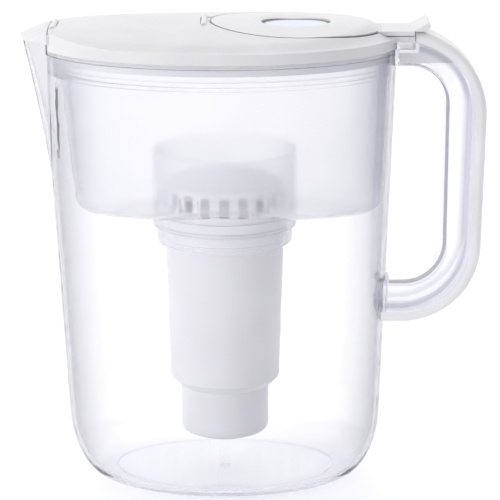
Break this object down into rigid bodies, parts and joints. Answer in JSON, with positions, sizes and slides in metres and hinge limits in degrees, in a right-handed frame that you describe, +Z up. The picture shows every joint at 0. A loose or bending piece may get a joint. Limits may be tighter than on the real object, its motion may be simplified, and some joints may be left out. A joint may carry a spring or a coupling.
{
  "type": "water filter pitcher",
  "caption": "Clear oval pitcher with a loop handle, a crowned lid with pour flap and fill hatch, a hanging hopper and a lift-out filter cartridge.",
  "frame": {"origin": "on the resting face, under the axis of the filter cartridge", "axes": "+Z up, +X towards the handle with the beak at -X, Y across; the shape mirrors across Y = 0"},
  "size_m": [0.2673, 0.1384, 0.2713],
  "materials": {
    "clear_plastic": "clear moulded plastic with a faint lavender edge tint",
    "frosted_plastic": "pale translucent plastic, satin",
    "grey_plastic": "light grey plastic, fine texture",
    "white_plastic": "white plastic, soft gloss",
    "cartridge_white": "white plastic, satin",
    "seal_rubber": "pale silicone",
    "carbon": "black granules",
    "resin": "amber resin beads",
    "screen_mesh": "woven mesh",
    "felt": "pressed felt",
    "window": "tinted glossy window",
    "steel": "plain steel",
    "board": "green laminate",
    "led_lens": "milky lens",
    "black_plastic": "black plastic"
  },
  "bodies": {
    "pitcher": {"jug": "clear_plastic", "handle_frame": "clear_plastic", "handle_spine": "frosted_plastic", "handle_anchor": "grey_plastic"},
    "hopper": {"reservoir": "clear_plastic"},
    "cartridge": {"cartridge_body": "cartridge_white", "cartridge_cap": "cartridge_white", "cartridge_seal": "seal_rubber", "inlet_screen": "screen_mesh", "carbon_media": "carbon", "media_divider": "felt", "resin_media": "resin", "outlet_screen": "screen_mesh"},
    "cover": {"lid": "white_plastic", "flap_pin": "steel", "hatch_pin": "steel"},
    "flap": {"spout_flap": "white_plastic"},
    "hatch": {"fill_hatch": "white_plastic", "indicator_bezel": "grey_plastic", "indicator_housing": "white_plastic", "indicator_board": "board", "reset_switch": "black_plastic", "status_led": "led_lens", "coin_cell": "steel", "battery_contact": "steel", "battery_clip": "steel", "battery_cover": "white_plastic", "cover_gasket": "seal_rubber", "cover_screws": "steel"},
    "button": {"indicator_button": "window"}
  },
  "joints": [
    {"name": "hopper_lift", "type": "slide", "parent": "pitcher", "child": "hopper", "axis": [0, 0, 1], "range_m": [0, 0.24]},
    {"name": "cartridge_lift", "type": "slide", "parent": "hopper", "child": "cartridge", "axis": [0, 0, 1], "range_m": [0, 0.06]},
    {"name": "lid_lift", "type": "slide", "parent": "hopper", "child": "cover", "axis": [0, 0, 1], "range_m": [0, 0.05]},
    {"name": "flap_hinge", "type": "hinge", "parent": "cover", "child": "flap", "pos_m": [-0.0975, 0, 0.26706], "axis": [0, 1, 0], "range_deg": [0, 65]},
    {"name": "hatch_hinge", "type": "hinge", "parent": "cover", "child": "hatch", "pos_m": [-0.0115, 0, 0.26936], "axis": [0, -1, 0], "range_deg": [0, 80]},
    {"name": "button_press", "type": "slide", "parent": "hatch", "child": "button", "axis": [0, 0, -1], "range_m": [0, 0.0008], "stiffness_N_per_m": 600}
  ]
}
